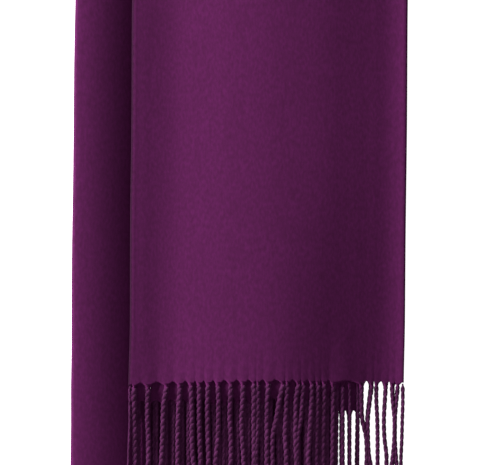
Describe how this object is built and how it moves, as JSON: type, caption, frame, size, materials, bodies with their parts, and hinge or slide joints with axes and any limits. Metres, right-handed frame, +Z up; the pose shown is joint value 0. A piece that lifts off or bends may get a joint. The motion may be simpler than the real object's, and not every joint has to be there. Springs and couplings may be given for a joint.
{
  "type": "shawl",
  "caption": "Soft fringed shawl, folded lengthwise in four, doubled over once and laid flat, with twisted strands along both hems.",
  "frame": {"origin": "middle of the whole folded shawl on the surface it lies on", "axes": "+Z up from the surface, +Y along the cloth towards the top fold, +X to the right seen from above"},
  "size_m": [0.2162, 1, 0.0187],
  "materials": {
    "brushed_cloth": "deep purple brushed pashmina with a soft nap",
    "fringe_yarn": "deep purple two-ply twisted strands"
  },
  "bodies": {
    "root": {"front_panel": "brushed_cloth", "front_inner_layers": "brushed_cloth", "back_panel": "brushed_cloth", "back_inner_layers": "brushed_cloth", "front_fringe": "fringe_yarn", "front_second_fringe": "fringe_yarn", "front_under_fringe": "fringe_yarn", "back_fringe": "fringe_yarn", "back_under_fringe": "fringe_yarn"}
  },
  "joints": []
}
